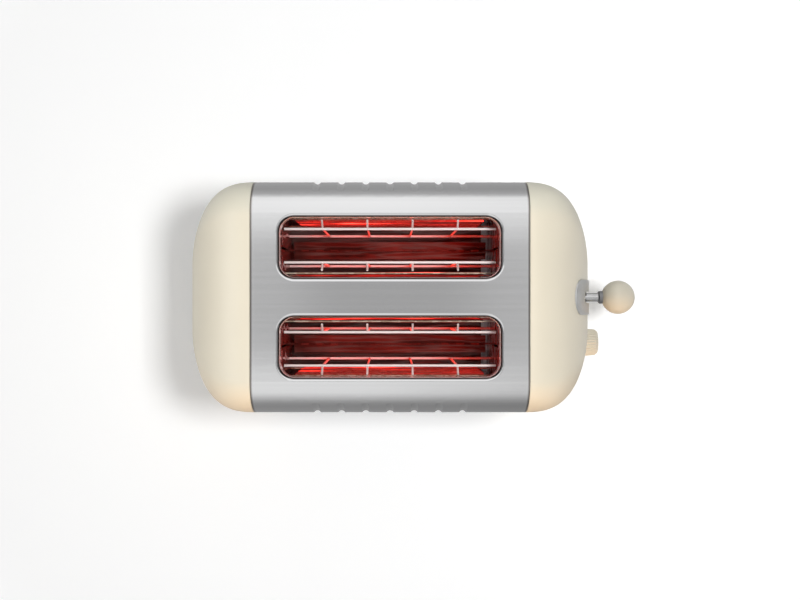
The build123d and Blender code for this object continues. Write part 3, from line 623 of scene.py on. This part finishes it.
# %% Cream shell and cream controls
def cream_finish(name, dark, light, roughness, coat):
    """Satin moulded plastic, with worn edges and a shaded seam."""
    material, shader = finish(name, light, 0.0, roughness, Coat_Weight=coat, Coat_Roughness=0.12)
    texture = place_group(material.node_tree, grain, Scale=1400.0, Patch_Scale=9.0)
    vary_colour(shader, texture["Patch"], dark, light)
    vary_roughness(shader, texture["Patch"], roughness - 0.05, roughness + 0.05)
    show_edges(shader, (0.80, 0.77, 0.70), 0.35)
    shade(shader, place_group(material.node_tree, seam, Reach=0.0009)["Mask"], (0.20, 0.17, 0.13))
    push_normal(shader, texture["Height"], 0.00004, 0.35)
    return material


cream_shell = cream_finish("cream_shell", (0.715, 0.670, 0.550), (0.745, 0.700, 0.577), 0.42, 0.12)
cream_controls = cream_finish("cream_controls", (0.600, 0.550, 0.450), (0.640, 0.590, 0.485), 0.36, 0.2)
print("finish:", cream_shell.name, cream_controls.name)

# %% [markdown]
# ## Plated and ground metal
# The lever's stem, its slot plate, the rods, screws and spring are plated, drawn or ground. Each could be
# its own recipe, but they differ only in two tones, a range of roughness and the direction of the lines,
# so one recipe makes them all. The guards are bright wire that heat has dulled, so they are barely
# metallic.

# %% Plated and ground finishes
def plated_finish(name, dark, light, low, high, stretch, metallic=1.0):
    """Metal in two tones, with fine lines along the axis that has the smallest number in the stretch."""
    material, shader = finish(name, light, metallic, high)
    lines = place_group(material.node_tree, brushed, Stretch=stretch)
    vary_colour(shader, lines["Streak"], dark, light)
    vary_roughness(shader, lines["Height"], low, high)
    push_normal(shader, lines["Height"], 0.00003, 0.3)
    show_edges(shader, (0.8, 0.8, 0.8), 0.4)
    return material


plate_light = (0.68, 0.68, 0.68)
satin_plate = plated_finish("satin_plate", (0.58, 0.58, 0.58), plate_light, 0.30, 0.42, (900, 900, 30))
rod_light = (0.66, 0.66, 0.66)
bright_plate = plated_finish("bright_plate", (0.58, 0.58, 0.58), rod_light, 0.08, 0.18, (60, 900, 900))
stem_plate = plated_finish("stem_plate", (0.5, 0.5, 0.5), (0.6, 0.6, 0.6), 0.12, 0.22, (60, 900, 900))
spring_wire = plated_finish("spring_wire", (0.5, 0.5, 0.5), (0.62, 0.62, 0.62), 0.15, 0.3, (700, 700, 700))
screw_light = (0.62, 0.61, 0.56)
screw_plate = plated_finish("screw_plate", (0.5, 0.49, 0.45), screw_light, 0.2, 0.35, (500, 500, 500))
ground_iron = plated_finish("ground_iron", (0.22, 0.22, 0.23), (0.3, 0.3, 0.31), 0.3, 0.5, (900, 30, 900))
guard_wire = plated_finish("guard_wire", (0.84, 0.75, 0.73), (0.95, 0.88, 0.86), 0.32, 0.5, (50, 800, 800),
                           metallic=0.15)
print("finish:", satin_plate.name, bright_plate.name, stem_plate.name, spring_wire.name, screw_plate.name,
      ground_iron.name, guard_wire.name)

# %% [markdown]
# ## Flaked surfaces
# The zinc on the base plate grows in spangles, and the heater cards' mica splits in flakes. Noise has no
# borders, so both are the cells of a Voronoi texture. Each cell's random colour gives one number for the
# tone, one for the roughness and, on the mica, one for the height. The zinc lies flat, so its height is
# the fine grain.

# %% Zinc sheet and mica cards
def flakes(tree, scale):
    """Three random numbers for each cell of a Voronoi texture."""
    cells = tree.nodes.new("ShaderNodeTexVoronoi")
    cells.inputs["Scale"].default_value = scale
    tree.links.new(object_place(tree), cells.inputs["Vector"])
    numbers = tree.nodes.new("ShaderNodeSeparateColor")
    tree.links.new(cells.outputs["Color"], numbers.inputs[0])
    return numbers.outputs


zinc_sheet, zinc_shader = finish("zinc_sheet", (0.55, 0.56, 0.57), 1.0, 0.35)
spangle = flakes(zinc_sheet.node_tree, 160.0)
zinc_grain = place_group(zinc_sheet.node_tree, grain, Scale=700.0, Patch_Scale=30.0)
vary_colour(zinc_shader, spangle[0], (0.48, 0.49, 0.51), (0.6, 0.61, 0.62))
vary_roughness(zinc_shader, spangle[1], 0.28, 0.42)
push_normal(zinc_shader, zinc_grain["Height"], 0.00004, 0.4)
show_edges(zinc_shader, (0.72, 0.72, 0.72), 0.5)

mica_card, mica_shader = finish("mica_card", (0.45, 0.36, 0.26), 0.0, 0.3, Coat_Weight=0.4,
                                Coat_Roughness=0.2)
flake = flakes(mica_card.node_tree, 260.0)
vary_colour(mica_shader, flake[0], (0.30, 0.22, 0.15), (0.52, 0.43, 0.33))
vary_roughness(mica_shader, flake[1], 0.2, 0.4)
push_normal(mica_shader, flake[2], 0.00005, 0.5)
print("finish:", zinc_sheet.name, mica_card.name)

# %% [markdown]
# ## Inside the chambers
# Heat has browned the reflectors and buckled them a little, so the glowing ribbons are drawn out in them
# into wavy red lines. Their dark red colour is partly that browning and partly painted red glow and painted
# shade. The buckles could be modelled, but only their reflections show, so a slow wave in the Bump node
# gives them. It is drawn out so that its ridges run along the toaster.

# %% Heat-toned chamber steel
def buckle_height(tree, place, stretch, share, grain_height):
    """A slow wave where the share is high, with a little grain all over."""
    wave = noise_node(tree, vector_node(tree, "MULTIPLY", place, stretch), 1.0, 1.0, 0.4)
    return math_node(tree, "ADD", math_node(tree, "MULTIPLY", wave, share),
                     math_node(tree, "MULTIPLY", grain_height, 0.02))


def chamber_finish(name, dark, light, low, high, buckle, stretch):
    """Browned, buckled sheet steel, whose dark red is partly browning and partly painted glow and shade."""
    material, shader = finish(name, light, 0.6, high)
    tree = material.node_tree
    texture = place_group(tree, grain, Scale=600.0, Patch_Scale=14.0)
    vary_colour(shader, texture["Patch"], dark, light)
    vary_roughness(shader, texture["Patch"], low, high)
    wave_height = buckle_height(tree, object_place(tree), stretch, 1.0, texture["Height"])
    push_normal(shader, wave_height, buckle, 1.0)
    return material


# Painted red glow and painted shade: the chamber and rack steel is kept dark red, beyond its browning.
chamber_steel_painted_glow = chamber_finish("chamber_steel_painted_glow", (0.11, 0.038, 0.032), (0.27, 0.115, 0.095), 0.10, 0.20,
                               0.005, (30.0, 60.0, 60.0))
rack_steel_painted_glow = chamber_finish("rack_steel_painted_glow", (0.07, 0.020, 0.016), (0.17, 0.055, 0.045), 0.14, 0.22,
                            0.004, (18.0, 150.0, 150.0))
print("finish:", chamber_steel_painted_glow.name, rack_steel_painted_glow.name)

# %% [markdown]
# ## Crumb tray
# The tray is one piece with two looks: a cream end panel, and a pan of browned steel whose dark tone is
# also painted shade. Two materials would need the mesh's faces sorted, so one material has a step along X
# that tells them apart. The step drives the colour, the metal, the roughness and the buckle together.

# %% A cream end panel on a steel pan
panel_depth = 0.0125
panel_roughness = 0.42
pan_roughness = 0.16
pan_metallic = 0.6
panel_edge_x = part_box("crumb_tray")[0].x + panel_depth
crumb_tray, tray_shader = finish("crumb_tray", (0.72, 0.67, 0.56), 0.0, panel_roughness)
tray_tree = crumb_tray.node_tree
tray_place = object_place(tray_tree)
pan_share = math_node(tray_tree, "GREATER_THAN", split(tray_tree, tray_place)["X"], panel_edge_x)
tray_grain = place_group(tray_tree, grain, Scale=900.0, Patch_Scale=16.0)
# Painted shade: the pan's browned steel is kept dark, as shade deep in the chambers.
pan_painted_shade_stops = [(0.35, (0.085, 0.050, 0.045)), (0.65, (0.17, 0.105, 0.095))]
pan_painted_shade_tone = ramp_node(tray_tree, tray_grain["Patch"], pan_painted_shade_stops)
tray_colour = mix_colour(tray_tree, pan_share, (0.725, 0.680, 0.570), pan_painted_shade_tone)
tray_metallic = math_node(tray_tree, "MULTIPLY", pan_share, pan_metallic)
tray_roughness = map_range(tray_tree, pan_share, 0.0, 1.0, panel_roughness, pan_roughness)
tray_tree.links.new(tray_colour, tray_shader.inputs["Base Color"])
tray_tree.links.new(tray_metallic, tray_shader.inputs["Metallic"])
tray_tree.links.new(tray_roughness, tray_shader.inputs["Roughness"])
tray_buckle = buckle_height(tray_tree, tray_place, (16.0, 130.0, 130.0), pan_share, tray_grain["Height"])
push_normal(tray_shader, tray_buckle, 0.003, 1.0)
print("finish:", crumb_tray.name, "panel ends at x =", round(panel_edge_x, 4))

# %% [markdown]
# ## Glowing ribbon
# A flat resistance ribbon glows red, but not equally along its run. A blackbody colour would come out
# orange all over, so noise drives a ramp from nearly dark through deep red to bright red, and the ramp is
# the emission's colour.

# %% Ribbon that glows in stretches
ribbon_strength = 7.0
heat_stops = [(0.47, (0.020, 0.0006, 0.0005)), (0.60, (0.12, 0.0026, 0.0020)), (0.76, (1.0, 0.040, 0.026))]
glowing_ribbon, ribbon_shader = finish("glowing_ribbon", (0.12, 0.05, 0.04), 0.6, 0.5,
                                       Emission_Strength=ribbon_strength)
ribbon_tree = glowing_ribbon.node_tree
along_run = vector_node(ribbon_tree, "MULTIPLY", object_place(ribbon_tree), (13.0, 40.0, 60.0))
heat = noise_node(ribbon_tree, along_run, 1.0, 2.0, 0.6)
ribbon_tree.links.new(ramp_node(ribbon_tree, heat, heat_stops), ribbon_shader.inputs["Emission Color"])
ribbon_grain = place_group(ribbon_tree, grain, Scale=500.0, Patch_Scale=22.0)
vary_roughness(ribbon_shader, ribbon_grain["Patch"], 0.4, 0.6)
push_normal(ribbon_shader, ribbon_grain["Height"], 0.00003, 0.4)
print("finish:", glowing_ribbon.name, "strength:", ribbon_strength)

# %% [markdown]
# ## Rubber, boards and other mouldings
# What hides inside the lever end and under the base is finished too, since the part is seen from all
# sides and may be opened up. Rubber, dark plastic and board laminate are all matt with a grain, so one
# recipe makes them, with a coarser and rougher grain for the rubber.

# %% Matt and moulded finishes
def moulded_finish(name, dark, light, roughness, scale, depth):
    """A matt moulding with an even grain and paler edges."""
    material, shader = finish(name, light, 0.0, roughness)
    texture = place_group(material.node_tree, grain, Scale=scale, Patch_Scale=40.0)
    vary_colour(shader, texture["Patch"], dark, light)
    vary_roughness(shader, texture["Height"], roughness - 0.08, roughness + 0.08)
    push_normal(shader, texture["Height"], depth, 0.5)
    show_edges(shader, [min(1.0, channel * 1.8) for channel in light], 0.4)
    return material


foot_rubber = moulded_finish("foot_rubber", (0.025, 0.025, 0.026), (0.05, 0.05, 0.05), 0.75, 1200.0, 0.0001)
gland_rubber = moulded_finish("gland_rubber", (0.04, 0.04, 0.042), (0.075, 0.075, 0.075), 0.7, 1000.0,
                              0.00008)
dark_plastic = moulded_finish("dark_plastic", (0.03, 0.03, 0.032), (0.055, 0.055, 0.055), 0.45, 1500.0,
                              0.00004)
board_laminate = moulded_finish("board_laminate", (0.13, 0.09, 0.035), (0.19, 0.13, 0.05), 0.4, 900.0,
                                0.00003)
print("finish:", foot_rubber.name, gland_rubber.name, dark_plastic.name, board_laminate.name)

# %% [markdown]
# ## Copper winding
# The latch magnet's coil is wound with varnished copper wire. Its hundreds of turns are too fine to be
# worth a mesh, so the bands of a Wave texture stand for them, in the colour, the roughness and the bump.
# The dark part of each colour band is painted shade between the turns.

# %% Copper wire
copper_wire, copper_shader = finish("copper_wire", (0.65, 0.28, 0.12), 1.0, 0.25)
turns = copper_wire.node_tree.nodes.new("ShaderNodeTexWave")
turns.bands_direction = "Z"
turns.inputs["Scale"].default_value = 500.0
copper_wire.node_tree.links.new(object_place(copper_wire.node_tree), turns.inputs["Vector"])
# Painted shade: the colour darkens in the grooves between turns.
vary_colour(copper_shader, turns.outputs["Fac"], (0.30, 0.11, 0.05), (0.68, 0.30, 0.14))
vary_roughness(copper_shader, turns.outputs["Fac"], 0.2, 0.4)
push_normal(copper_shader, turns.outputs["Fac"], 0.0002, 0.8)
print("finish:", copper_wire.name)

# %% [markdown]
# ## Dress the CAD pieces
# The CAD solids already have the real pieces' shapes, down to the flutes and the rolled lips. They could
# be modelled again with softer edges, but their meshes are fine enough to keep, so they only get their
# finishes.

# %% Give each node its finish
dress = [
    (wrap_steel, ["body_wrap"]),
    (cream_shell, ["front_cap", "rear_cap"]),
    (crumb_tray, ["crumb_tray"]),
    (cream_controls, ["lever_ball", "browning_knob", "defrost_button", "reheat_button", "cancel_button"]),
    (satin_plate, ["lever_bezel"]),
    (bright_plate, ["guide_rod", "browning_shaft"]),
    (stem_plate, ["lever_stem"]),
    (spring_wire, ["lift_spring"]),
    (ground_iron, ["lever_collar", "armature_plate", "latch_magnet"]),
    (screw_plate, ["base_screws", "front_cap_screws", "rear_cap_screws"]),
    (zinc_sheet, ["base_plate"]),
    (chamber_steel_painted_glow, ["front_bulkhead", "rear_bulkhead", "centre_reflector", "outer_reflector_left",
                     "outer_reflector_right"]),
    (rack_steel_painted_glow, ["bread_rack_left", "bread_rack_right", "carriage_bracket"]),
    (guard_wire, [f"bread_guard_{card_place}" for card_place in card_places]),
    (mica_card, [f"heater_card_{card_place}" for card_place in card_places]),
    (glowing_ribbon, [f"heater_ribbon_{card_place}" for card_place in card_places]),
    (copper_wire, ["magnet_coil"]),
    (board_laminate, ["control_board"]),
    (dark_plastic, ["board_posts", "browning_control", "button_switches"]),
    (foot_rubber, ["feet"]),
    (gland_rubber, ["cord_gland"]),
]
for material, names in dress:
    for name in names:
        slots = nodes[name].data.materials
        slots.clear()
        slots.append(material)
print("dressed:", sum(len(names) for material, names in dress), "of", len(nodes))

# %% [markdown]
# ## The lift spring as a real coil
# A close-wound spring pulls the carriage up. The CAD model keeps it as the tube that its coils fill. A
# Screw modifier could wind it, but a curve gives the wire its round section by itself: here it follows a
# helix inside that tube, and its bevel is turned into a mesh.

# %% Wind the lift spring
wire_radius = 0.0006
coil_turns = 34
points_per_turn = 14
spring_low, spring_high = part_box("lift_spring")
spring_middle = (spring_low + spring_high) / 2
coil_radius = (spring_high.x - spring_low.x) / 2 - wire_radius
coil_height = spring_high.z - spring_low.z - 2 * wire_radius
helix = bpy.data.curves.new("lift_spring_coil", "CURVE")
helix.dimensions = "3D"
helix.bevel_depth = wire_radius
helix.bevel_resolution = 3
last_point = coil_turns * points_per_turn
spline = helix.splines.new("POLY")
spline.points.add(last_point)
for i, point in enumerate(spline.points):
    share = i / last_point
    angle = 2 * math.pi * coil_turns * share
    x = spring_middle.x + coil_radius * math.cos(angle)
    y = spring_middle.y + coil_radius * math.sin(angle)
    point.co = (x, y, spring_low.z + wire_radius + share * coil_height, 1.0)
helix_object = add_object("lift_spring_coil", helix)
bpy.context.view_layer.update()
evaluated = helix_object.evaluated_get(bpy.context.evaluated_depsgraph_get())
coil_mesh = bpy.data.meshes.new_from_object(evaluated)
bpy.data.objects.remove(helix_object)
coil_mesh.materials.clear()
coil_mesh.materials.append(spring_wire)
coil_mesh.polygons.foreach_set("use_smooth", [True] * len(coil_mesh.polygons))
lift_coil = add_object("lift_coil", coil_mesh)
print("spring:", coil_turns, "turns,", len(coil_mesh.polygons), "faces")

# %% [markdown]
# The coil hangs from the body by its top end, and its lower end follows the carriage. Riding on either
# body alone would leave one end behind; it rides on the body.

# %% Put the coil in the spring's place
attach(lift_coil, "body")
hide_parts("lift_spring")
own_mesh(lift_coil)
